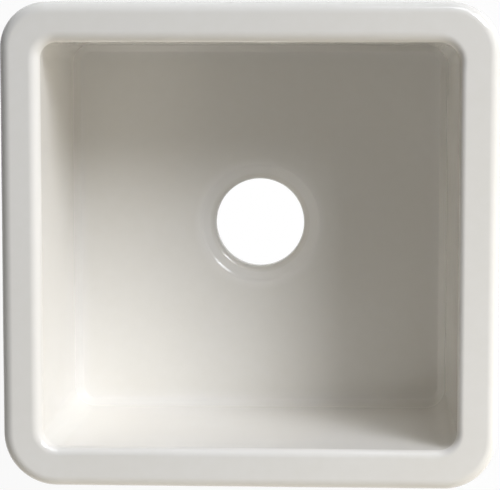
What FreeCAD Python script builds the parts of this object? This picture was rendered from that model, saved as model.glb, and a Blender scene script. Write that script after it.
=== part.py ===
"""Square farmhouse apron front sink in glazed fireclay.

The sink is one casting: a buff fireclay body, and a white glaze that covers it everywhere except
under its base. The two are separate solids that meet face to face.

Millimetres. The origin is the middle of the base, +Z is up, and the apron front faces -Y.
"""
import FreeCAD, Part

import math
import os

import Sketcher
from FreeCAD import Placement, Rotation, Vector

PARTS_FOLDER = "parts"

# A face is level when its normal leans less than this from upright, and at a height when it is this near.
LEVEL_COSINE = 0.999
SAME_HEIGHT = 1e-6

# Name, value and meaning. Lengths are in millimetres, angles in degrees.
DRIVING_SIZES = [
    ("overall_width", 460.0, "left to right, over the glaze"),
    ("overall_depth", 451.0, "apron to back, over the glaze"),
    ("overall_height", 254.0, "base to rim"),
    ("corner_radius", 48.0, "the four upright outer corners"),
    ("rim_width", 37.0, "outer face to bowl wall, at the rim"),
    ("rim_outer_round", 10.0, "outer edge of the rim"),
    ("rim_inner_round", 10.0, "inner edge of the rim"),
    ("floor_thickness", 26.0, "plane of the foot to the edge of the bowl floor"),
    ("bowl_corner_radius", 20.0, "upright corners of the bowl, at the rim"),
    ("bowl_draft", 1.25, "lean of the bowl walls, in degrees from upright"),
    ("bowl_slide", 3.4, "how much nearer the apron the bowl floor lies than the rim's opening"),
    ("bowl_floor_round", 8.0, "where the bowl walls meet the floor"),
    ("floor_fall", 3.0, "drop of the floor from its edge to the seat"),
    ("level_margin", 8.0, "level floor left outside the fall"),
    ("outlet_diameter", 89.0, "throat of the outlet"),
    ("outlet_lip_round", 5.5, "edge where the seat turns into the throat"),
    ("seat_ledge_width", 2.5, "level ring between the lip and the dish of the seat"),
    ("seat_drop", 2.4, "depth of the ledge below the floor beside it"),
    ("seat_shoulder_round", 16.0, "edge where the floor turns into the seat"),
    ("seat_hollow_round", 16.0, "where the dish of the seat meets the ledge"),
    ("glaze_thickness", 1.0, "glaze on the fired body"),
    ("dry_foot_height", 4.0, "height up to which the sides are left unglazed"),
    ("base_edge_round", 3.0, "outer edge of the base"),
    ("foot_width", 40.0, "bearing foot round the edge of the base"),
    ("foot_height", 3.0, "how far the foot stands below the rest of the base"),
    ("foot_corner_radius", 26.0, "corners of the hollow inside the foot"),
    ("foot_inner_round", 2.0, "inner edge of the foot"),
    ("gasket_face_diameter", 132.0, "faced ring under the outlet"),
    ("gasket_face_depth", 3.0, "depth of that ring above the hollow of the base"),
]


def add_sizes(document):
    """The sheet that every sketch and feature reads: one row per driving size."""
    sheet = document.addObject("Spreadsheet::Sheet", "Sizes")
    for row, (name, value, meaning) in enumerate(DRIVING_SIZES, start=1):
        sheet.set(f"A{row}", name)
        sheet.set(f"B{row}", str(value))
        sheet.set(f"C{row}", meaning)
        sheet.setAlias(f"B{row}", name)
    document.recompute()


def origin_plane(body, role):
    """One of the body's own three planes, such as XY_Plane."""
    return next(feature for feature in body.Origin.OriginFeatures if feature.Role == role)


def add_sketch(body, name, role):
    sketch = body.newObject("Sketcher::SketchObject", name)
    sketch.AttachmentSupport = [(origin_plane(body, role), "")]
    sketch.MapMode = "FlatFace"
    return sketch


def bind(sketch, name, expression, constraint):
    """A dimension of the sketch that follows the sheet."""
    sketch.renameConstraint(sketch.addConstraint(constraint), name)
    sketch.setExpression(f"Constraints.{name}", expression)


def arc(centre_x, centre_y, radius, from_degrees, to_degrees):
    circle = Part.Circle(Vector(centre_x, centre_y, 0), Vector(0, 0, 1), radius)
    return Part.ArcOfCircle(circle, math.radians(from_degrees), math.radians(to_degrees))


def line(start_x, start_y, end_x, end_y):
    return Part.LineSegment(Vector(start_x, start_y, 0), Vector(end_x, end_y, 0))


def add_rounded_rectangle(body, name, width, depth, corner, level=None):
    """A level sketch about the Z axis: four sides and four equal corners."""
    sketch = add_sketch(body, name, "XY_Plane")
    if level is not None:
        sketch.setExpression("AttachmentOffset.Base.z", level)
    radius = body.evalExpression(corner)
    across = body.evalExpression(width) / 2 - radius
    back = body.evalExpression(depth) / 2 - radius
    far_x = across + radius
    far_y = back + radius
    front = sketch.addGeometry(line(-across, -far_y, across, -far_y))
    front_right = sketch.addGeometry(arc(across, -back, radius, -90, 0))
    right = sketch.addGeometry(line(far_x, -back, far_x, back))
    back_right = sketch.addGeometry(arc(across, back, radius, 0, 90))
    rear = sketch.addGeometry(line(across, far_y, -across, far_y))
    back_left = sketch.addGeometry(arc(-across, back, radius, 90, 180))
    left = sketch.addGeometry(line(-far_x, back, -far_x, -back))
    front_left = sketch.addGeometry(arc(-across, -back, radius, 180, 270))
    ring = [front, front_right, right, back_right, rear, back_left, left, front_left]
    for here, following in zip(ring, ring[1:] + ring[:1]):
        sketch.addConstraint(Sketcher.Constraint("Tangent", here, 2, following, 1))
    for level_side in (front, rear):
        sketch.addConstraint(Sketcher.Constraint("Horizontal", level_side))
    for upright_side in (right, left):
        sketch.addConstraint(Sketcher.Constraint("Vertical", upright_side))
    for other_corner in (back_right, back_left, front_left):
        sketch.addConstraint(Sketcher.Constraint("Equal", front_right, other_corner))
    sketch.addConstraint(Sketcher.Constraint("Symmetric", front, 1, rear, 1, -1, 1))
    bind(sketch, "corner", corner, Sketcher.Constraint("Radius", front_right, radius))
    bind(sketch, "width", width, Sketcher.Constraint("DistanceX", left, 1, right, 1, 2 * far_x))
    bind(sketch, "depth", depth, Sketcher.Constraint("DistanceY", front, 1, rear, 1, 2 * far_y))
    return sketch


def add_block(body, skin):
    """The outer block, standing on the base."""
    outline = add_rounded_rectangle(
        body, f"{body.Name}Outline",
        f"Sizes.overall_width - 2 * {skin}",
        f"Sizes.overall_depth - 2 * {skin}",
        f"Sizes.corner_radius - {skin}",
    )
    block = body.newObject("PartDesign::Pad", f"{body.Name}Block")
    block.Profile = outline
    block.setExpression("Length", f"Sizes.overall_height - {skin}")


def add_bowl(body, skin):
    """The bowl, sunk from the rim with walls that lean in, and towards the apron as it goes down."""
    outline = add_rounded_rectangle(
        body, f"{body.Name}BowlOutline",
        f"Sizes.overall_width - 2 * Sizes.rim_width + 2 * {skin}",
        f"Sizes.overall_depth - 2 * Sizes.rim_width + 2 * {skin}",
        f"Sizes.bowl_corner_radius + {skin}",
        level="Sizes.overall_height",
    )
    bowl = body.newObject("PartDesign::Pocket", f"{body.Name}Bowl")
    bowl.Profile = outline
    bowl.setExpression("Length", f"Sizes.overall_height - Sizes.floor_thickness + {skin}")
    bowl.setExpression("TaperAngle", "-Sizes.bowl_draft")
    bowl.UseCustomVector = True
    bowl.AlongSketchNormal = True
    slope = "Sizes.bowl_slide / (Sizes.overall_height - Sizes.floor_thickness)"
    bowl.Direction = Vector(0, -body.evalExpression(slope), -1)
    bowl.setExpression("Direction.y", f"-{slope}")


def add_base_hollow(body):
    """The hollow that leaves a bearing foot round the edge of the base."""
    outline = add_rounded_rectangle(
        body, f"{body.Name}HollowOutline",
        "Sizes.overall_width - 2 * Sizes.foot_width",
        "Sizes.overall_depth - 2 * Sizes.foot_width",
        "Sizes.foot_corner_radius",
    )
    hollow = body.newObject("PartDesign::Pocket", f"{body.Name}BaseHollow")
    hollow.Profile = outline
    hollow.Reversed = True
    hollow.setExpression("Length", "Sizes.foot_height")
    return hollow


def level_face(shape, height):
    """The largest flat level face at this height."""
    faces = [
        face for face in shape.Faces
        if isinstance(face.Surface, Part.Plane)
        and abs(face.Surface.Axis.z) > LEVEL_COSINE
        and abs(face.CenterOfMass.z - height) < SAME_HEIGHT
    ]
    return max(faces, key=lambda face: face.Area)


def add_round(body, name, base, edges, radius):
    """A fillet on these edges of the feature before it."""
    numbered = enumerate(base.Shape.Edges, start=1)
    names = [f"Edge{number}" for number, edge in numbered if any(edge.isSame(e) for e in edges)]
    fillet = body.newObject("PartDesign::Fillet", name)
    fillet.Base = (base, names)
    fillet.setExpression("Radius", radius)
    body.Document.recompute()
    return fillet


def add_rounds(body, skin, base):
    """The rim's two rolled edges, the round at the bowl floor, and the edges of the foot."""
    body.Document.recompute()
    height = body.evalExpression(f"Sizes.overall_height - {skin}")
    rim = level_face(base.Shape, height)
    outer = add_round(
        body, f"{body.Name}RimOuterRound", base,
        rim.OuterWire.Edges, f"Sizes.rim_outer_round - {skin}",
    )
    rim = level_face(outer.Shape, height)
    inner_edges = [edge for wire in rim.Wires if not wire.isSame(rim.OuterWire) for edge in wire.Edges]
    inner = add_round(
        body, f"{body.Name}RimInnerRound", outer,
        inner_edges, f"Sizes.rim_inner_round - {skin}",
    )
    floor = level_face(inner.Shape, body.evalExpression(f"Sizes.floor_thickness - {skin}"))
    floor_round = add_round(
        body, f"{body.Name}FloorRound", inner,
        floor.OuterWire.Edges, f"Sizes.bowl_floor_round + {skin}",
    )
    foot = level_face(floor_round.Shape, 0.0)
    base_edge = add_round(
        body, f"{body.Name}BaseEdgeRound", floor_round,
        foot.OuterWire.Edges, "Sizes.base_edge_round",
    )
    foot = level_face(base_edge.Shape, 0.0)
    hollow_edges = [edge for wire in foot.Wires if not wire.isSame(foot.OuterWire) for edge in wire.Edges]
    add_round(
        body, f"{body.Name}FootInnerRound", base_edge,
        hollow_edges, "Sizes.foot_inner_round",
    )


def add_outlet(body, skin):
    """The fall of the floor, the dished seat and the throat, turned in one about the Z axis."""
    throat = f"Sizes.outlet_diameter / 2 + {skin}"
    lip = f"Sizes.outlet_lip_round - {skin}"
    ledge_edge = "Sizes.outlet_diameter / 2 + Sizes.outlet_lip_round + Sizes.seat_ledge_width"
    hollow = f"Sizes.seat_hollow_round + {skin}"
    shoulder = f"Sizes.seat_shoulder_round - {skin}"
    floor = f"Sizes.floor_thickness - {skin}"
    fall_foot = f"{floor} - Sizes.floor_fall"
    ledge = f"{fall_foot} - Sizes.seat_drop"
    fall_edge = (
        "min(Sizes.overall_width; Sizes.overall_depth) / 2 - Sizes.rim_width"
        " - (Sizes.overall_height - Sizes.floor_thickness) * tan(Sizes.bowl_draft * 1 deg)"
        " - Sizes.bowl_floor_round - Sizes.level_margin"
    )
    value = body.evalExpression
    throat_x, lip_r, ledge_x = value(throat), value(lip), value(ledge_edge)
    hollow_r, shoulder_r = value(hollow), value(shoulder)
    floor_y, ledge_y, fall_y = value(floor), value(ledge), value(fall_foot)
    fall_x, rim_y = value(fall_edge), value("Sizes.overall_height")

    # The dish is two arcs that turn by the same angle, one each way, while they drop to the ledge.
    both = hollow_r + shoulder_r
    turn = math.acos(1 - (fall_y - ledge_y) / both)
    shoulder_x = ledge_x + both * math.sin(turn)
    turn = math.degrees(turn)

    sketch = add_sketch(body, f"{body.Name}OutletSection", "XZ_Plane")
    top = sketch.addGeometry(line(0, rim_y, fall_x, rim_y))
    side = sketch.addGeometry(line(fall_x, rim_y, fall_x, floor_y))
    fall = sketch.addGeometry(line(fall_x, floor_y, shoulder_x, fall_y))
    shoulder_arc = sketch.addGeometry(arc(shoulder_x, fall_y - shoulder_r, shoulder_r, 90, 90 + turn))
    hollow_arc = sketch.addGeometry(arc(ledge_x, ledge_y + hollow_r, hollow_r, -90, -90 + turn))
    flat = sketch.addGeometry(line(ledge_x, ledge_y, throat_x + lip_r, ledge_y))
    lip_arc = sketch.addGeometry(arc(throat_x + lip_r, ledge_y - lip_r, lip_r, 90, 180))
    bore = sketch.addGeometry(line(throat_x, ledge_y - lip_r, throat_x, 0))
    bottom = sketch.addGeometry(line(throat_x, 0, 0, 0))
    middle = sketch.addGeometry(line(0, 0, 0, rim_y))

    joined = [(top, 2, side, 1), (side, 2, fall, 1), (bore, 2, bottom, 1), (bottom, 2, middle, 1),
              (middle, 2, top, 1)]
    for ends in joined:
        sketch.addConstraint(Sketcher.Constraint("Coincident", *ends))
    smooth = [(fall, 2, shoulder_arc, 1), (shoulder_arc, 2, hollow_arc, 2), (hollow_arc, 1, flat, 1),
              (flat, 2, lip_arc, 1), (lip_arc, 2, bore, 1)]
    for ends in smooth:
        sketch.addConstraint(Sketcher.Constraint("Tangent", *ends))
    for level in (top, flat, bottom):
        sketch.addConstraint(Sketcher.Constraint("Horizontal", level))
    for upright in (side, bore):
        sketch.addConstraint(Sketcher.Constraint("Vertical", upright))
    sketch.addConstraint(Sketcher.Constraint("Coincident", middle, 1, -1, 1))
    sketch.addConstraint(Sketcher.Constraint("PointOnObject", middle, 2, -2))

    bind(sketch, "throat_radius", throat, Sketcher.Constraint("DistanceX", -1, 1, bore, 2, throat_x))
    bind(sketch, "lip_round", lip, Sketcher.Constraint("Radius", lip_arc, lip_r))
    bind(sketch, "ledge_radius", ledge_edge, Sketcher.Constraint("DistanceX", -1, 1, flat, 1, ledge_x))
    bind(sketch, "hollow_round", hollow, Sketcher.Constraint("Radius", hollow_arc, hollow_r))
    bind(sketch, "shoulder_round", shoulder, Sketcher.Constraint("Radius", shoulder_arc, shoulder_r))
    bind(sketch, "ledge_height", ledge, Sketcher.Constraint("DistanceY", -1, 1, flat, 1, ledge_y))
    bind(sketch, "fall_foot", fall_foot, Sketcher.Constraint("DistanceY", -1, 1, fall, 2, fall_y))
    bind(sketch, "floor_height", floor, Sketcher.Constraint("DistanceY", -1, 1, fall, 1, floor_y))
    bind(sketch, "fall_radius", fall_edge, Sketcher.Constraint("DistanceX", -1, 1, fall, 1, fall_x))
    rim_height = Sketcher.Constraint("DistanceY", -1, 1, top, 2, rim_y)
    bind(sketch, "rim_height", "Sizes.overall_height", rim_height)

    outlet = body.newObject("PartDesign::Groove", f"{body.Name}Outlet")
    outlet.Profile = sketch
    outlet.ReferenceAxis = (sketch, ["V_Axis"])
    outlet.Angle = 360
    body.Document.recompute()


def add_gasket_face(body):
    """The ring under the outlet that is faced flat for a gasket."""
    sketch = add_sketch(body, f"{body.Name}GasketOutline", "XY_Plane")
    radius = body.evalExpression("Sizes.gasket_face_diameter / 2")
    edge = sketch.addGeometry(Part.Circle(Vector(0, 0, 0), Vector(0, 0, 1), radius))
    sketch.addConstraint(Sketcher.Constraint("Coincident", edge, 3, -1, 1))
    diameter = Sketcher.Constraint("Diameter", edge, 2 * radius)
    bind(sketch, "diameter", "Sizes.gasket_face_diameter", diameter)
    face = body.newObject("PartDesign::Pocket", f"{body.Name}GasketFace")
    face.Profile = sketch
    face.Reversed = True
    face.setExpression("Length", "Sizes.foot_height + Sizes.gasket_face_depth")
    body.Document.recompute()


def add_casting(document, name, skin):
    """The sink's whole form, with every face that is glazed drawn in by the thickness of a skin."""
    body = document.addObject("PartDesign::Body", name)
    add_block(body, skin)
    add_bowl(body, skin)
    hollow = add_base_hollow(body)
    add_rounds(body, skin, hollow)
    add_outlet(body, skin)
    add_gasket_face(body)
    return body


def add_glaze(document, finished, fireclay):
    """What lies between the finished faces and the fireclay, wiped off round the foot."""
    coat = document.addObject("Part::Cut", "Coat")
    coat.Base = finished
    coat.Tool = fireclay
    wiped = document.addObject("Part::Box", "WipedFoot")
    wiped.setExpression("Length", "Sizes.overall_width")
    wiped.setExpression("Width", "Sizes.overall_depth")
    wiped.setExpression("Height", "Sizes.dry_foot_height")
    wiped.setExpression("Placement.Base.x", "-Sizes.overall_width / 2")
    wiped.setExpression("Placement.Base.y", "-Sizes.overall_depth / 2")
    glaze = document.addObject("Part::Cut", "Glaze")
    glaze.Base = coat
    glaze.Tool = wiped
    return glaze


def check(document, pieces):
    """Stop if an object failed to recompute, or if a piece isn't one valid solid."""
    failed = [item.Name for item in document.Objects if {"Invalid", "Error"} & set(item.State)]
    if failed:
        raise RuntimeError(f"failed objects: {failed}")
    for piece in pieces:
        shape = piece.Shape
        if shape.isNull() or not shape.isValid() or len(shape.Solids) != 1:
            raise RuntimeError(f"{piece.Label} is not one valid solid")


def main():
    document = FreeCAD.newDocument("ApronFrontSink")
    add_sizes(document)

    fireclay = add_casting(document, "Fireclay", "Sizes.glaze_thickness")
    fireclay.Label = "fireclay_body"
    finished = add_casting(document, "Finished", "0")
    glaze = add_glaze(document, finished, fireclay)
    glaze.Label = "glaze_coat"
    pieces = [fireclay, glaze]
    for piece in pieces:
        piece.Placement = Placement(Vector(0, 0, 0), Rotation())

    document.recompute()
    check(document, pieces)
    os.makedirs(PARTS_FOLDER, exist_ok=True)
    for piece in pieces:
        piece.Shape.exportStep(os.path.join(PARTS_FOLDER, f"{piece.Label}.step"))
        litres = piece.Shape.Volume / 1e6
        print(f"{piece.Label}: {litres:.3f} litres, {len(piece.Shape.Faces)} faces")


main()
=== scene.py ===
"""A square farmhouse sink in glazed fireclay, dressed over its construction model.

Metres. The origin is the middle of the base, +Z is up, and the apron front faces -Y.
"""
import math

import bmesh
import bpy
import numpy as np
from bpy.props import FloatProperty, FloatVectorProperty, IntProperty, PointerProperty
from mathutils import Matrix, Vector


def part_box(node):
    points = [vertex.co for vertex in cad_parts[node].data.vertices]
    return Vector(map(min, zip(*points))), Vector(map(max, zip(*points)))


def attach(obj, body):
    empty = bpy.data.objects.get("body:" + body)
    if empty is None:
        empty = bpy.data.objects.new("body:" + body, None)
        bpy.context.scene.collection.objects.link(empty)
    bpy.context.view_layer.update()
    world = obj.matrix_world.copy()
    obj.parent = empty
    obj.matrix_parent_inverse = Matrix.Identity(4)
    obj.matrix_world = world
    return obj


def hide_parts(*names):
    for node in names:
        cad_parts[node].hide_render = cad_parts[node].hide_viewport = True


bl_info = {
    "name": "Apron front sink",
    "version": (1, 0, 0),
    "blender": (4, 5, 0),
    "location": "3D View > Sidebar > Sink",
    "description": "Builds a glazed fireclay sink with its glaze, its bare foot and a studio",
    "category": "Object",
}

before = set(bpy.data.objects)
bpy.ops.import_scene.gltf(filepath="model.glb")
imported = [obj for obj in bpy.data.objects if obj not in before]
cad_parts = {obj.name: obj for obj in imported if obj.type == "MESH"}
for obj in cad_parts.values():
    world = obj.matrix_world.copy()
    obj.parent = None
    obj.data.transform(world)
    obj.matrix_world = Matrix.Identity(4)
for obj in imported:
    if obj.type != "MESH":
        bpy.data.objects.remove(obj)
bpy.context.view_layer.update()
CAD_LOW, CAD_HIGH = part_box("glaze_coat")
BODY = "root"


# --- sizes and colours -------------------------------------------------------------------------


def length(name, description, default):
    return FloatProperty(
        name=name, description=description, default=default, unit="LENGTH", precision=5,
    )


def angle(name, description, degrees):
    return FloatProperty(
        name=name, description=description, default=math.radians(degrees), subtype="ANGLE",
    )


def four_lengths(name, description, default):
    """Four lengths: for the corners from the back right one, or for the sides from the right."""
    return FloatVectorProperty(
        name=name, description=description, default=default, size=4, unit="LENGTH", precision=5,
    )


def colour(name, description, default):
    return FloatVectorProperty(
        name=name, description=description, default=default, size=3, subtype="COLOR",
        min=0.0, max=1.0,
    )


def share(name, description, default):
    return FloatProperty(
        name=name, description=description, default=default, subtype="FACTOR", min=0.0, max=1.0,
    )


def point(name, description, default):
    return FloatVectorProperty(
        name=name, description=description, default=default, subtype="TRANSLATION",
    )


class SinkShape(bpy.types.PropertyGroup):
    """The form of the casting, over its glaze."""

    width: length("Width", "Left to right over the glaze", CAD_HIGH[0] - CAD_LOW[0])
    depth: length("Depth", "Apron to back over the glaze", CAD_HIGH[1] - CAD_LOW[1])
    height: length("Height", "Base to rim", CAD_HIGH[2])
    corner: four_lengths(
        "Corner radii", "Upright outer corners: back right, back left, front left, front right",
        (0.0455, 0.0425, 0.0500, 0.0490),
    )
    rim: length("Rim width", "Outer face to bowl wall at the rim", 0.037)
    outer_round: length("Rim outer round", "Outer edge of the rim", 0.010)
    inner_round: four_lengths(
        "Rim inner rounds", "Inner edge of the rim: right, back, left, front",
        (0.0062, 0.0105, 0.0105, 0.0075),
    )
    bowl_corner: four_lengths(
        "Bowl corner radii", "Upright corners of the bowl at the rim, in the same order",
        (0.0190, 0.0155, 0.0170, 0.0175),
    )
    bowl_corner_growth: length("Bowl corner growth", "Added to those radii at the floor", 0.0075)
    bowl_slide: length("Bowl slide", "How far the floor lies nearer the apron than the rim", 0.0034)
    draft: angle("Draft", "Lean of the bowl walls", 1.25)
    floor: length("Floor height", "Edge of the bowl floor above the base", 0.026)
    floor_band: length("Floor band", "Sloping band where the walls meet the floor", 0.008)
    floor_round: length("Floor round", "Rounds at both edges of that band", 0.0022)
    fall: length("Floor fall", "Drop of the floor from its edge to the seat", 0.003)
    outlet: length("Outlet radius", "Throat of the outlet", 0.0445)
    lip_round: length("Lip round", "Edge where the seat turns into the throat", 0.0075)
    ledge: length("Seat ledge", "Gently sloping ring between the lip and the dish", 0.005)
    ledge_fall: angle("Ledge fall", "Slope of that ring towards the outlet", 16.0)
    seat_steep: angle("Seat steepness", "Steepest slope of the dish", 29.0)
    seat_round: length("Seat round", "The two arcs of the dish", 0.007)
    gasket_radius: length("Gasket face radius", "Faced ring under the outlet", 0.066)
    gasket_height: length("Gasket face height", "That ring above the base plane", 0.006)
    glaze: length("Glaze thickness", "Glaze on the fired body", 0.001)
    dry_foot: length("Dry foot", "Height up to which the sides are bare", 0.004)
    base_round: length("Base edge round", "Outer edge of the base", 0.003)
    foot: length("Foot width", "Bearing foot round the base", 0.040)
    foot_height: length("Foot height", "Foot below the hollow of the base", 0.003)
    foot_corner: length("Foot corner radius", "Corners of the hollow of the base", 0.026)
    foot_round: length("Foot inner round", "Inner edge of the foot", 0.002)
    ripple: length("Ripple", "How far the fired faces wander inwards", 0.0002)
    rays: IntProperty(name="Rays", description="Points round each quarter", default=112, min=24)


class GlazeFinish(bpy.types.PropertyGroup):
    """The white gloss glaze."""

    white: colour("White", "The glaze where it lies thick", (0.902, 0.877, 0.823))
    cream: colour("Cream", "The slow drift of its tint", (0.89, 0.861, 0.80))
    # The thin colour serves thin glaze at the lip and foot bead, and painted shade that darkens and
    # warms the rim and the bowl floor.
    thin_and_shade: colour("Thin glaze", "Where it runs thin over an edge", (0.81, 0.782, 0.70))
    speck: colour("Speck", "Iron specks in the fired glaze", (0.20, 0.165, 0.13))
    roughness: share("Roughness", "Gloss of the glaze", 0.07)


class FireclayFinish(bpy.types.PropertyGroup):
    """The bare fired body."""

    buff: colour("Buff", "The fired clay", (0.62, 0.52, 0.40))
    pale: colour("Pale", "Lighter clay between the grog", (0.72, 0.63, 0.51))
    grog: colour("Grog", "Dark grains in the clay", (0.42, 0.33, 0.245))
    roughness: share("Roughness", "Dry matt clay", 0.88)


class Studio(bpy.types.PropertyGroup):
    """The camera, lamps and floor."""

    camera: point("Camera", "Place of the lens", (0.1084, 0.2467, 2.4664))
    aim: point("Aim", "Point in the middle of the picture", (0.00064, 0.00173, 0.244))
    lens: FloatProperty(name="Lens", description="Focal length in millimetres", default=174.29)
    light: FloatProperty(name="Light", description="Strength of all the lamps", default=1.0)
    fill: FloatProperty(name="Fill", description="Even light from all round", default=0.008)
    fill_tint: colour("Fill tint", "Colour of that light", (1.0, 0.88, 0.68))
    floor: colour("Floor", "The plain floor", (0.70, 0.70, 0.70))
    floor_radius: length("Floor radius", "How far the floor reaches", 40.0)
    floor_white: share("Floor white", "How white the floor shows, over its shadows", 0.93)


WHITE = (1.0, 1.0, 1.0)
COOL, WARM = (0.893, 0.924, 1.0), (1.0, 0.955, 0.88)
LAMP_AIM = (0.0, 0.0, 0.25)

# Name, place, side and power in watts, tint, and whether the glaze mirrors the lamp.
LAMPS = (
    ("key", (8.04, 8.04, 9.82), 5.4, 630.0, COOL, True),
    ("key_edge", (7.17, 7.17, 11.29), 3.4, 320.0, COOL, True),
    ("key_low", (9.18, 9.18, 7.88), 5.3, 720.0, COOL, True),
    ("side_panel", (12.64, 3.61, 7.47), 7.5, 140.0, COOL, True),
    ("back_panel", (3.61, 12.64, 7.47), 6.0, 570.0, COOL, True),
    ("right_card", (1.2, -0.37, 0.68), 0.8, 7.8, WARM, False),
    ("front_card", (-0.3, -1.4, 0.5), 0.9, 8.6, WARM, False),
)

# How far the glaze turns to the thin colour, from 0 to 1: on the rim it is thin glaze over the
# rounds and painted shade that darkens and warms the whole rim top; on the bowl floor it is painted
# shade; at the lip of the outlet and the bead at the foot it is thin glaze.
RIM_THIN_AND_SHADE, FLOOR_PAINTED_SHADE, LIP_THIN, BEAD_THIN = 0.75, 0.6, 0.8, 0.4
THROAT_ROUND = 0.0004
SMALLEST_CORNER = 0.0005
# How closely the rings of a hidden face follow each other, beside those of the finished face.
COARSE = 0.45


# --- forms -------------------------------------------------------------------------------------


def ray_angles(shape):
    """Directions from the middle, closest together where the outlines turn their corners."""
    corner = math.atan2(shape.depth / 2 - shape.rim, shape.width / 2 - shape.rim)
    crowding, spread, samples = 16.0, math.radians(3.0), 4001
    fine = np.linspace(0, math.pi / 2, samples)
    density = 1 + crowding / (1 + ((fine - corner) / spread) ** 2)
    travelled = np.concatenate([[0], np.cumsum((density[1:] + density[:-1]) / 2)])
    steps = np.linspace(0, travelled[-1], shape.rays, endpoint=False)
    quarter = np.interp(steps, travelled, fine)
    mirrored = math.pi - np.concatenate([quarter[1:], [math.pi / 2]])[::-1]
    half = np.concatenate([quarter, mirrored])
    return np.concatenate([half, half + math.pi])


def rounded(angles, half_x, half_y, corner):
    """Distance from the middle to a rectangle with round corners, along each ray."""
    across, along = np.abs(np.cos(angles)), np.abs(np.sin(angles))
    core_x, core_y = half_x - corner, half_y - corner
    to_side = half_x / np.maximum(across, 1e-9)
    to_end = half_y / np.maximum(along, 1e-9)
    reach = core_x * across + core_y * along
    inside = np.maximum(reach ** 2 - (core_x ** 2 + core_y ** 2 - corner ** 2), 0)
    to_corner = reach + np.sqrt(inside)
    on_side = to_side * along <= core_y
    on_end = to_end * across <= core_x
    return np.where(on_side, to_side, np.where(on_end, to_end, to_corner))


class Outline:
    """A rounded rectangle, with a radius for each corner, that is drawn in by an inset."""

    def __init__(self, angles, half_x, half_y, corners, growth=0.0, slide=0.0):
        quarter = np.floor(angles / (math.pi / 2) + 1e-9).astype(int) % 4
        self.angles, self.half_x, self.half_y = angles, half_x, half_y
        self.corner, self.growth = np.asarray(corners)[quarter], growth
        self.slide = np.where(quarter < 2, -slide, slide)

    def at(self, inset, deep=0.0):
        """Distances along the rays. deep is how far down the bowl it is, from 0 to 1."""
        corner = np.maximum(self.corner - inset + self.growth * deep, SMALLEST_CORNER)
        half_y = self.half_y - inset + self.slide * deep
        return rounded(self.angles, self.half_x - inset, half_y, corner)


def arc(centre, radius, start, end, steps):
    """Points on an arc in the section plane, each with how far along it is. Degrees."""
    for part in np.linspace(0, 1, steps):
        turn = math.radians(start + (end - start) * part)
        yield centre[0] + radius * math.cos(turn), centre[1] + radius * math.sin(turn), part


def crowded(steps, ease):
    """Parts of a way from 0 to 1, without the ends, crowded towards both ends by ease."""
    for part in np.linspace(0, 1, steps + 2)[1:-1]:
        yield part - ease * math.sin(2 * math.pi * part) / (2 * math.pi)


def stretch(start, end, steps, ease=0.0):
    """Points between two, without the ends, each with how far along it is."""
    for part in crowded(steps, ease):
        yield start[0] + (end[0] - start[0]) * part, start[1] + (end[1] - start[1]) * part, part


def by_side(angles, sides):
    """A length on every ray, from the four sides' lengths, which blend at the corners."""
    right, back, left, front = sides
    turns = [0, 39, 51, 129, 141, 219, 231, 309, 321, 360]
    lengths = [right, right, back, back, left, left, front, front, right, right]
    return np.interp(np.degrees(angles), turns, lengths)


def wall_line(shape, inner_round):
    """The bowl's section, as inset and height: centres of the inner rim round and of the rounds
    above and below the sloping band.
    """
    lean, small = shape.draft, shape.floor_round
    rim_inset = inner_round * math.tan(lean) - inner_round / math.cos(lean)
    slope = shape.floor_band - small
    band_top = shape.floor + small + slope
    upper = ((shape.height - band_top) * math.tan(lean) + small / math.cos(lean), band_top)
    return (rim_inset, shape.height - inner_round), upper, (upper[0] + slope, upper[1] - slope)


class Seat:
    """The dished seat: two arcs that turn the falling floor down to a ledge, and the lip below."""

    def __init__(self, shape, start):
        steep, fall, radius = shape.seat_steep, shape.ledge_fall, shape.seat_round
        self.arcs = [math.degrees(slope) for slope in (start, steep, fall)]
        ledge_radius = shape.outlet + shape.lip_round + shape.ledge
        drop = radius * (math.cos(fall) + math.cos(start) - 2 * math.cos(steep))
        ledge_height = shape.floor - shape.fall - drop
        self.hollow = (
            ledge_radius - radius * math.sin(fall),
            ledge_height + radius * math.cos(fall),
        )
        self.shoulder = (
            self.hollow[0] + 2 * radius * math.sin(steep),
            self.hollow[1] - 2 * radius * math.cos(steep),
        )
        self.edge_radius = self.shoulder[0] - radius * math.sin(start)
        run = shape.ledge + shape.lip_round * math.sin(fall)
        lip_top = ledge_height - run * math.tan(fall)
        self.lip = (shape.outlet + shape.lip_round, lip_top - shape.lip_round * math.cos(fall))


class Skin:
    """Collects the rings of one closed surface, one point on every ray."""

    def __init__(self, angles):
        self.angles = angles
        self.radii, self.heights, self.loose, self.thin_and_shade = [], [], [], []

    def ring(self, radius, height, loose=1.0, thin_and_shade=0.0):
        """One ring. loose is how far it follows the ripple, thin_and_shade how far its glaze turns
        to the thin colour: thin glaze over edges, painted shade on the rim and bowl floor.
        """
        self.radii.append(np.broadcast_to(radius, self.angles.shape))
        self.heights.append(np.broadcast_to(height, self.angles.shape))
        self.loose.append(loose)
        self.thin_and_shade.append(thin_and_shade)

    def rings(self, section, outline=None, loose=0.0, thin_and_shade=0.0):
        """A ring for each point of a section, whose first number is an inset of the outline."""
        for across, height, _ in section:
            self.ring(outline.at(across) if outline else across, height, loose, thin_and_shade)

    def points(self):
        radii, heights = np.array(self.radii), np.array(self.heights)
        return np.stack([radii * np.cos(self.angles), radii * np.sin(self.angles), heights], axis=2)


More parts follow.
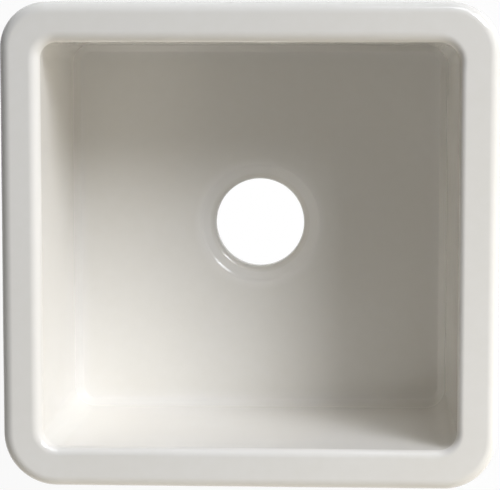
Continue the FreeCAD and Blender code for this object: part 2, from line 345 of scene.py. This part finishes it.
def glazed_rings(skin, shape, under, fine):
    """Rings from the dry foot up the outside, over the rim, down the bowl and through the outlet.

    under is the depth below the finished face; fine is how closely the rings follow each other.
    """

    def count(number):
        return max(2, round(number * fine))

    outer = Outline(skin.angles, shape.width / 2, shape.depth / 2, shape.corner)
    bowl = Outline(
        skin.angles, shape.width / 2 - shape.rim, shape.depth / 2 - shape.rim,
        shape.bowl_corner, shape.bowl_corner_growth, shape.bowl_slide,
    )
    inner_round = by_side(skin.angles, shape.inner_round)
    rim_round, band_upper, band_lower = wall_line(shape, inner_round)

    side_rings(skin, shape, under, count, outer)
    high = shape.height - shape.outer_round
    outer_round = arc((shape.outer_round, high), shape.outer_round - under, 180, 90, count(14))
    # The rim's rounds and flat take the thin colour: thin glaze on the rounds, painted shade over
    # the whole rim top.
    skin.rings(outer_round, outer, loose=1.0, thin_and_shade=RIM_THIN_AND_SHADE)
    rim_start, rim_end = outer.at(shape.outer_round), bowl.at(rim_round[0])
    for part in crowded(count(9), 0.8):
        skin.ring(rim_start + (rim_end - rim_start) * part, shape.height - under, thin_and_shade=RIM_THIN_AND_SHADE)
    lean = math.degrees(shape.draft)
    for inset, height, part in arc(rim_round, inner_round - under, 90, lean, count(14)):
        skin.ring(bowl.at(inset), height, thin_and_shade=RIM_THIN_AND_SHADE * (1 - part))

    out = (math.cos(shape.draft), math.sin(shape.draft))
    wall_top = [rim_round[i] + (inner_round - under) * out[i] for i in (0, 1)]
    wall_foot = [band_upper[i] - (shape.floor_round + under) * out[i] for i in (0, 1)]
    for inset, height, _ in stretch(wall_top, wall_foot, count(26), ease=0.9):
        deep = (wall_top[1] - height) / (wall_top[1] - wall_foot[1])
        skin.ring(bowl.at(inset, deep), height)
    band = list(arc(band_upper, shape.floor_round + under, 180 + lean, 225, count(7)))
    lower = list(arc(band_lower, shape.floor_round + under, 225, 270, count(7)))
    for inset, height, _ in (*band, *stretch(band[-1], lower[0], count(6)), *lower):
        skin.ring(bowl.at(inset, 1.0), height)

    floor_and_seat_rings(skin, shape, under, count, bowl.at(band_lower[0], 1.0))


def side_rings(skin, shape, under, count, outer):
    """The outer faces, from above the dry foot to the rim's outer round."""
    above_bead, calm, rim_tint_reach = 0.0035, 0.03, 0.05
    low, high = shape.dry_foot + above_bead, shape.height - shape.outer_round
    for part in (0.0, *crowded(count(20), 0.9)):
        height = low + (high - low) * part
        rise = min(1.0, (height - low) / calm)
        # Near the rim the outer faces fade into the rim's thin colour, partly thin glaze and partly
        # painted shade.
        near_rim = max(0.0, 1 - (high - height) / rim_tint_reach)
        skin.ring(outer.at(under), height, loose=rise, thin_and_shade=RIM_THIN_AND_SHADE * near_rim)


def floor_and_seat_rings(skin, shape, under, count, floor_edge):
    """The bowl floor, which falls to the seat, then the seat, its lip and the throat."""
    fall_angle = math.atan2(shape.fall, floor_edge.mean() - shape.outlet)
    seat = Seat(shape, fall_angle)
    soft, settling, fade_in, fade_out = 0.08, 0.35, 0.08, 0.05
    for part in crowded(count(34), 0.85):
        fallen = (part - soft * (1 - math.exp(-part / soft))) / (1 - soft)
        settled = min(1.0, (1 - part) / settling)
        radius = floor_edge + (seat.edge_radius - floor_edge) * part
        # Painted shade: the bowl floor is darkened and warmed with the thin colour, faded in and
        # out at its edges.
        thin_and_shade = FLOOR_PAINTED_SHADE * min(1.0, part / fade_in, (1 - part) / fade_out)
        skin.ring(radius, shape.floor - shape.fall * fallen - under, loose=settled, thin_and_shade=thin_and_shade)

    start, steep, fall = seat.arcs
    above, below = shape.seat_round - under, shape.seat_round + under
    skin.rings(arc(seat.shoulder, above, 90 + start, 90 + steep, count(12)))
    hollow = list(arc(seat.hollow, below, -90 + steep, -90 + fall, count(9)))
    lip = list(arc(seat.lip, shape.lip_round - under, 90 + fall, 180, count(12)))
    skin.rings((*hollow, *stretch(hollow[-1], lip[0], count(5))))
    skin.rings(lip, thin_and_shade=LIP_THIN)
    throat_end = shape.gasket_height + THROAT_ROUND
    for height in np.linspace(seat.lip[1], throat_end, count(7))[1:]:
        skin.ring(shape.outlet + under, height, loose=0.0)


def wander(points, seed, shortest, longest):
    """A slow drift between 0 and 1 over the object, from a few crossing waves."""
    random = np.random.RandomState(seed)
    waves = 16
    total = np.zeros(points.shape[:-1])
    for _ in range(waves):
        direction = random.normal(size=3)
        direction /= np.linalg.norm(direction)
        wavelength = random.uniform(shortest, longest)
        phase = random.uniform(0, 2 * math.pi)
        total += np.sin(points @ direction * (2 * math.pi / wavelength) + phase)
    return 0.5 + 0.5 * np.tanh(total / math.sqrt(waves))


def surface_directions(points):
    """Outward directions of a closed skin of rings, from its own neighbours."""
    along = np.roll(points, -1, axis=1) - np.roll(points, 1, axis=1)
    across = np.roll(points, -1, axis=0) - np.roll(points, 1, axis=0)
    normals = np.cross(along, across)
    return normals / np.maximum(np.linalg.norm(normals, axis=2, keepdims=True), 1e-12)


def build_skin(name, skin, shape):
    """A mesh from the skin's rings, joined round and end to end, and pulled in by the ripple."""
    points = skin.points()
    loose = np.array(skin.loose)[:, None]
    drift = wander(points, seed=11, shortest=0.09, longest=0.26)
    normals = surface_directions(points)
    points = points - normals * (drift * loose * shape.ripple)[:, :, None]

    rings, rays = points.shape[:2]
    mesh = bpy.data.meshes.new(name)
    index = np.arange(rings * rays).reshape(rings, rays)
    next_ring, next_ray = np.roll(index, -1, axis=0), np.roll(index, -1, axis=1)
    both = np.roll(next_ring, -1, axis=1)
    faces = np.stack([index, next_ray, both, next_ring], axis=2).reshape(-1, 4)
    mesh.from_pydata(points.reshape(-1, 3).tolist(), [], faces.tolist())
    thin_and_shade = mesh.attributes.new("thin_and_shade", "FLOAT", "POINT")
    thin_and_shade.data.foreach_set("value", np.repeat(skin.thin_and_shade, rays).astype(np.float32))
    sculpt = bmesh.new()
    sculpt.from_mesh(mesh)
    bmesh.ops.recalc_face_normals(sculpt, faces=sculpt.faces)
    sculpt.to_mesh(mesh)
    sculpt.free()
    mesh.shade_smooth()
    mesh.validate()
    piece = bpy.data.objects.new(name, mesh)
    bpy.context.scene.collection.objects.link(piece)
    return piece


def glaze_mesh(shape):
    """The white coat: its finished face, its rolled lower edges, and the face against the clay."""
    angles = ray_angles(shape)
    outer = Outline(angles, shape.width / 2, shape.depth / 2, shape.corner)
    skin = Skin(angles)
    lift, sway, bead = 0.0006, 0.0010, shape.glaze * 0.5
    directions = np.stack([np.cos(angles), np.sin(angles), angles * 0], axis=1)
    run = wander(directions, seed=5, shortest=0.25, longest=0.7) - 0.5
    edge = shape.dry_foot + lift + run * sway
    for radius, height, _ in arc((bead, 0.0), bead, 300, 180, 6):
        skin.ring(outer.at(radius), edge + bead + height, loose=0.0, thin_and_shade=BEAD_THIN)
    glazed_rings(skin, shape, 0.0, 1.0)
    throat_end = (shape.outlet + THROAT_ROUND, shape.gasket_height + THROAT_ROUND)
    skin.rings(list(arc(throat_end, THROAT_ROUND, 180, 270, 4))[1:])
    inside = Skin(angles)
    glazed_rings(inside, shape, shape.glaze, COARSE)
    inside.ring(shape.outlet + shape.glaze, shape.gasket_height, loose=0.0)
    for radius, height, loose in zip(inside.radii[::-1], inside.heights[::-1], inside.loose[::-1]):
        skin.ring(radius, height, loose=-loose)
    skin.ring(outer.at(shape.glaze), edge + bead * 0.4, loose=0.0)
    return build_skin("sink_glaze", skin, shape)


def fireclay_mesh(shape):
    """The clay body: the face under the glaze, the foot, the hollow base and the gasket ring."""
    angles = ray_angles(shape)
    outer = Outline(angles, shape.width / 2, shape.depth / 2, shape.corner)
    hollow = Outline(
        angles, shape.width / 2 - shape.foot, shape.depth / 2 - shape.foot,
        [shape.foot_corner] * 4,
    )
    skin = Skin(angles)
    worn = 0.0005
    bore, gasket = shape.outlet + shape.glaze, shape.gasket_radius
    for part in (0.0, 0.05, 0.3, 0.6, 0.95):
        skin.ring(bore + (gasket - bore) * part, shape.gasket_height, loose=0.0)
    skin.rings(arc((gasket - worn, shape.gasket_height - worn), worn, 90, 0, 4))
    skin.rings(arc((gasket + worn, shape.foot_height + worn), worn, 180, 270, 4))
    ceiling = hollow.at(worn)
    for part in np.linspace(0, 1, 16)[1:-1]:
        radius = gasket + worn + (ceiling - gasket - worn) * part
        skin.ring(radius, shape.foot_height, loose=0.0)
    foot_round, base_round = shape.foot_round, shape.base_round
    skin.rings(arc((worn, shape.foot_height - worn), worn, 90, 180, 4), hollow)
    skin.rings(arc((-foot_round, foot_round), foot_round, 0, -90, 8), hollow)
    foot_start, foot_end = hollow.at(-foot_round), outer.at(shape.glaze + base_round)
    for part in np.linspace(0, 1, 10)[1:-1]:
        skin.ring(foot_start + (foot_end - foot_start) * part, 0.0, loose=0.0)
    skin.rings(arc((shape.glaze + base_round, base_round), base_round, 270, 180, 8), outer)
    skin.ring(outer.at(shape.glaze), shape.dry_foot, loose=0.0)
    glazed_rings(skin, shape, shape.glaze, COARSE)
    return build_skin("sink_fireclay", skin, shape)


# --- finishes ----------------------------------------------------------------------------------


class Value:
    """One output of a node. Arithmetic on it adds Math nodes."""

    def __init__(self, finish, socket):
        self.finish, self.socket = finish, socket

    def _math(self, operation, *values):
        sockets = dict(enumerate(values))
        return self.finish.node("ShaderNodeMath", {"operation": operation}, sockets)

    def __add__(self, other):
        return self._math("ADD", self, other)

    def __radd__(self, other):
        return self._math("ADD", other, self)

    def __sub__(self, other):
        return self._math("SUBTRACT", self, other)

    def __rsub__(self, other):
        return self._math("SUBTRACT", other, self)

    def __mul__(self, other):
        return self._math("MULTIPLY", self, other)

    def __rmul__(self, other):
        return self._math("MULTIPLY", other, self)

    def __truediv__(self, other):
        return self._math("DIVIDE", self, other)

    def over(self, low, high):
        """0 below low, 1 above high, and a smooth rise between."""
        settings = {"interpolation_type": "SMOOTHSTEP"}
        sockets = {0: self, 1: low, 2: high, 3: 0.0, 4: 1.0}
        return self.finish.node("ShaderNodeMapRange", settings, sockets)

    def beside(self, output):
        """Another output of the same node."""
        return Value(self.finish, self.socket.node.outputs[output])


class Finish:
    """A material's node tree, and the one method that adds nodes to it."""

    def __init__(self, holder):
        holder.use_nodes = True
        self.tree = holder.node_tree
        self.tree.nodes.clear()

    def node(self, kind, settings=None, sockets=None, output=0):
        """Adds a node, sets it up, fills or links its sockets, and returns one of its outputs."""
        node = self.tree.nodes.new(kind)
        for name, setting in (settings or {}).items():
            setattr(node, name, setting)
        for name, value in (sockets or {}).items():
            if isinstance(value, Value):
                self.tree.links.new(value.socket, node.inputs[name])
            else:
                node.inputs[name].default_value = value
        return Value(self, node.outputs[output]) if len(node.outputs) else node

    def mixed(self, factor, first, second):
        """A colour between two, by a factor."""
        settings = {"data_type": "RGBA", "clamp_factor": True}
        sockets = {0: factor, 6: opaque(first), 7: opaque(second)}
        return self.node("ShaderNodeMix", settings, sockets, output=2)

    def bump(self, height, strength, distance):
        """A relief from a height between about 0 and 1."""
        sockets = {"Strength": strength, "Distance": distance, "Height": height}
        return self.node("ShaderNodeBump", {}, sockets)

    def place(self):
        return self.node("ShaderNodeTexCoord", output="Object")

    def noise(self, place, size, detail=2.0, roughness=0.5):
        """Cloudy noise whose lumps are about this size, in metres."""
        settings = {"noise_dimensions": "3D"}
        sockets = {"Vector": place, "Scale": 1 / size, "Detail": detail, "Roughness": roughness}
        return self.node("ShaderNodeTexNoise", settings, sockets, output="Fac")

    def scattered(self, place, size):
        """Points strewn about this far apart. Gives the distance to the nearest, in metres, and
        two random numbers that belong to it.
        """
        settings = {"feature": "F1", "distance": "EUCLIDEAN"}
        sockets = {"Vector": place, "Scale": 1 / size, "Randomness": 1.0}
        distance = self.node("ShaderNodeTexVoronoi", settings, sockets, output="Distance")
        first = self.node("ShaderNodeSeparateColor", {}, {0: distance.beside("Color")}, output=0)
        return distance * size, first, first.beside(1)


def opaque(tint):
    return tint if isinstance(tint, Value) else (*tint, 1.0)


def glaze_material(glaze):
    """Warm white gloss with a slow drift of tint, thin edges, painted shade on the rim and bowl
    floor, iron specks and orange peel.
    """
    material = bpy.data.materials.new("white_glaze")
    finish = Finish(material)
    place = finish.place()
    cloud, patch, mottle, speck_spacing = 0.11, 0.012, 0.02, 0.030
    peel_size, swell_size, relief_depth = 0.0065, 0.035, 0.00008

    drift = finish.noise(place, cloud, detail=3.0).over(0.35, 0.68)
    tint = finish.mixed(drift, glaze.white, glaze.cream)
    thin_and_shade = finish.node("ShaderNodeAttribute", {"attribute_name": "thin_and_shade"}, output="Fac")
    uneven = finish.noise(place, patch, detail=3.0)
    # The thin colour: thin glaze at the lip and foot bead, and painted shade that darkens and warms
    # the rim and the bowl floor.
    tint = finish.mixed(thin_and_shade * (0.35 + 0.5 * uneven), tint, glaze.thin_and_shade)

    distance, draw, size = finish.scattered(place, speck_spacing)
    speck_radius = 0.0003 + 0.0005 * size
    speck = draw.over(0.76, 0.78) * (1 - (distance / speck_radius).over(0.6, 1.2))
    tint = finish.mixed(speck * 0.75, tint, glaze.speck)

    matter = 0.035 * finish.noise(place, mottle, detail=4.0) + 0.25 * speck
    peel = finish.noise(place, peel_size, detail=1.5)
    swell = finish.noise(place, swell_size, detail=1.0)
    surface = finish.node("ShaderNodeBsdfPrincipled", {}, {
        "Base Color": tint, "Roughness": glaze.roughness + matter, "IOR": 1.52,
        "Normal": finish.bump(peel * 0.25 + swell, 0.35, relief_depth),
    })
    finish.node("ShaderNodeOutputMaterial", {}, {"Surface": surface})
    return material


def fireclay_material(clay):
    """Dry buff clay with grog, a fine grain and the kiln's slow change of tint."""
    material = bpy.data.materials.new("bare_fireclay")
    finish = Finish(material)
    place = finish.place()
    blush_size, grain_size, grog_spacing = 0.09, 0.0016, 0.0042
    dent_size, relief_depth = 0.011, 0.0004

    blush = finish.noise(place, blush_size, detail=4.0).over(0.3, 0.75)
    tint = finish.mixed(blush, clay.buff, clay.pale)
    grain = finish.noise(place, grain_size, detail=5.0, roughness=0.7)
    tint = finish.mixed(grain.over(0.45, 0.8) * 0.5, tint, clay.pale)
    distance, draw, size = finish.scattered(place, grog_spacing)
    grog_radius = 0.0005 + 0.0009 * size
    grog = draw.over(0.55, 0.60) * (1 - (distance / grog_radius).over(0.6, 1.0))
    tint = finish.mixed(grog * 0.7, tint, clay.grog)

    relief = grain - 0.35 * grog + 0.6 * finish.noise(place, dent_size, detail=3.0)
    surface = finish.node("ShaderNodeBsdfPrincipled", {}, {
        "Base Color": tint, "Roughness": clay.roughness + 0.08 * (grain - 0.5),
        "Normal": finish.bump(relief, 0.6, relief_depth),
        "IOR": 1.45, "Specular IOR Level": 0.25,
    })
    finish.node("ShaderNodeOutputMaterial", {}, {"Surface": surface})
    return material


def seen_directly(finish):
    """1 for what the camera sees straight on, in a mirror or through glass."""
    camera = finish.node("ShaderNodeLightPath", output="Is Camera Ray")
    return camera + camera.beside("Is Glossy Ray") + camera.beside("Is Transmission Ray")


# --- operators ---------------------------------------------------------------------------------


def dress(piece, material, node):
    """Gives a piece its finish, and its place on the frame."""
    piece.data.materials.append(material)
    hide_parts(node)
    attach(piece, BODY)


class GlazeCoat(bpy.types.Operator):
    """Builds the white glaze over the bowl, the rim and all four sides"""

    bl_idname = "sink.glaze_coat"
    bl_label = "Glaze coat"

    def execute(self, context):
        piece = glaze_mesh(context.scene.sink_shape)
        dress(piece, glaze_material(context.scene.sink_glaze), "glaze_coat")
        return {"FINISHED"}


class FireclayBody(bpy.types.Operator):
    """Builds the fired clay body with its bare foot and base"""

    bl_idname = "sink.fireclay_body"
    bl_label = "Fireclay body"

    def execute(self, context):
        piece = fireclay_mesh(context.scene.sink_shape)
        dress(piece, fireclay_material(context.scene.sink_fireclay), "fireclay_body")
        return {"FINISHED"}


def look(place, aim):
    """Where a thing at place faces when it looks at aim, with +Y upwards in the picture."""
    ahead = (aim - place).normalized()
    right = ahead.cross(Vector((0.0, 1.0, 0.0))).normalized()
    turned = Matrix((right, right.cross(ahead), -ahead)).transposed()
    return Matrix.Translation(place) @ turned.to_4x4()


def soft_lamp(name, place, side, power, tint, mirrored):
    """A square panel of light that faces the sink."""
    lamp = bpy.data.lights.new(name, "AREA")
    lamp.shape, lamp.size, lamp.energy, lamp.color = "SQUARE", side, power, tint
    holder = bpy.data.objects.new(name, lamp)
    holder.matrix_world = look(Vector(place), Vector(LAMP_AIM))
    holder.visible_camera, holder.visible_glossy = False, mirrored
    bpy.context.scene.collection.objects.link(holder)


def floor_material(tint, white_share, outlet):
    """A pale floor that keeps its shadows, with painted light under the open outlet, where it shows
    wholly white and hides the sink's shadow.
    """
    material = bpy.data.materials.new("studio_floor")
    finish = Finish(material)
    flat = finish.node("ShaderNodeBsdfDiffuse", {}, {"Color": opaque(tint)})
    white = finish.node("ShaderNodeEmission", {}, {"Color": opaque(WHITE), "Strength": 1.0})
    place = finish.place()
    away = finish.node("ShaderNodeVectorMath", {"operation": "LENGTH"}, {0: place}, output="Value")
    # Painted light: under the outlet the floor shows wholly white to camera and mirror rays, though
    # the sink shades it.
    under_outlet = 1 - away.over(outlet * 1.2, outlet * 1.35)
    white_and_painted_light = white_share + (1 - white_share) * under_outlet
    sockets = {0: seen_directly(finish) * white_and_painted_light, 1: flat, 2: white}
    surface = finish.node("ShaderNodeMixShader", {}, sockets)
    finish.node("ShaderNodeOutputMaterial", {}, {"Surface": surface})
    return material


def studio_world(studio):
    """A faint even light all round, behind which the background shows white."""
    world = bpy.data.worlds.new("studio")
    finish = Finish(world)
    sockets = {"Color": opaque(studio.fill_tint), "Strength": studio.fill}
    even = finish.node("ShaderNodeBackground", {}, sockets)
    white = finish.node("ShaderNodeBackground", {}, {"Color": opaque(WHITE), "Strength": 1.0})
    sockets = {0: seen_directly(finish), 1: even, 2: white}
    mixed = finish.node("ShaderNodeMixShader", {}, sockets)
    finish.node("ShaderNodeOutputWorld", {}, {"Surface": mixed})
    return world


def studio_floor(studio, outlet):
    """The round floor on which the sink stands."""
    mesh = bpy.data.meshes.new("floor")
    sculpt = bmesh.new()
    bmesh.ops.create_circle(sculpt, cap_ends=True, segments=96, radius=studio.floor_radius)
    sculpt.to_mesh(mesh)
    sculpt.free()
    mesh.materials.append(floor_material(studio.floor, studio.floor_white, outlet))
    return bpy.data.objects.new("floor", mesh)


class StudioStage(bpy.types.Operator):
    """Lays the floor, hangs the lamps and sets up the camera"""

    bl_idname = "sink.studio"
    bl_label = "Studio"

    def execute(self, context):
        scene, studio = context.scene, context.scene.sink_studio
        floor = studio_floor(studio, scene.sink_shape.outlet)
        scene.collection.objects.link(floor)
        scene.world = studio_world(studio)
        for name, place, side, power, tint, mirrored in LAMPS:
            soft_lamp(name, place, side, power * studio.light, tint, mirrored)

        lens = bpy.data.cameras.new("camera")
        lens.lens, lens.sensor_width = studio.lens, 36.0
        lens.clip_start, lens.clip_end = 0.05, 50.0
        camera = bpy.data.objects.new("camera", lens)
        camera.matrix_world = look(Vector(studio.camera), Vector(studio.aim))
        scene.collection.objects.link(camera)
        scene.camera = camera
        scene.view_settings.view_transform = "Standard"
        return {"FINISHED"}


class SinkPanel(bpy.types.Panel):
    """Lists what can be built"""

    bl_idname = "VIEW3D_PT_sink"
    bl_label = "Apron front sink"
    bl_space_type = "VIEW_3D"
    bl_region_type = "UI"
    bl_category = "Sink"

    def draw(self, context):
        for step in (FireclayBody, GlazeCoat, StudioStage):
            self.layout.operator(step.bl_idname)


GROUPS = {
    "sink_shape": SinkShape,
    "sink_glaze": GlazeFinish,
    "sink_fireclay": FireclayFinish,
    "sink_studio": Studio,
}
CLASSES = (*GROUPS.values(), FireclayBody, GlazeCoat, StudioStage, SinkPanel)


def register():
    for each in CLASSES:
        bpy.utils.register_class(each)
    for name, group in GROUPS.items():
        setattr(bpy.types.Scene, name, PointerProperty(type=group))


def unregister():
    for name in GROUPS:
        delattr(bpy.types.Scene, name)
    for each in reversed(CLASSES):
        bpy.utils.unregister_class(each)


def main():
    register()
    bpy.ops.sink.fireclay_body()
    bpy.ops.sink.glaze_coat()
    bpy.ops.sink.studio()


if __name__ == "__main__":
    main()
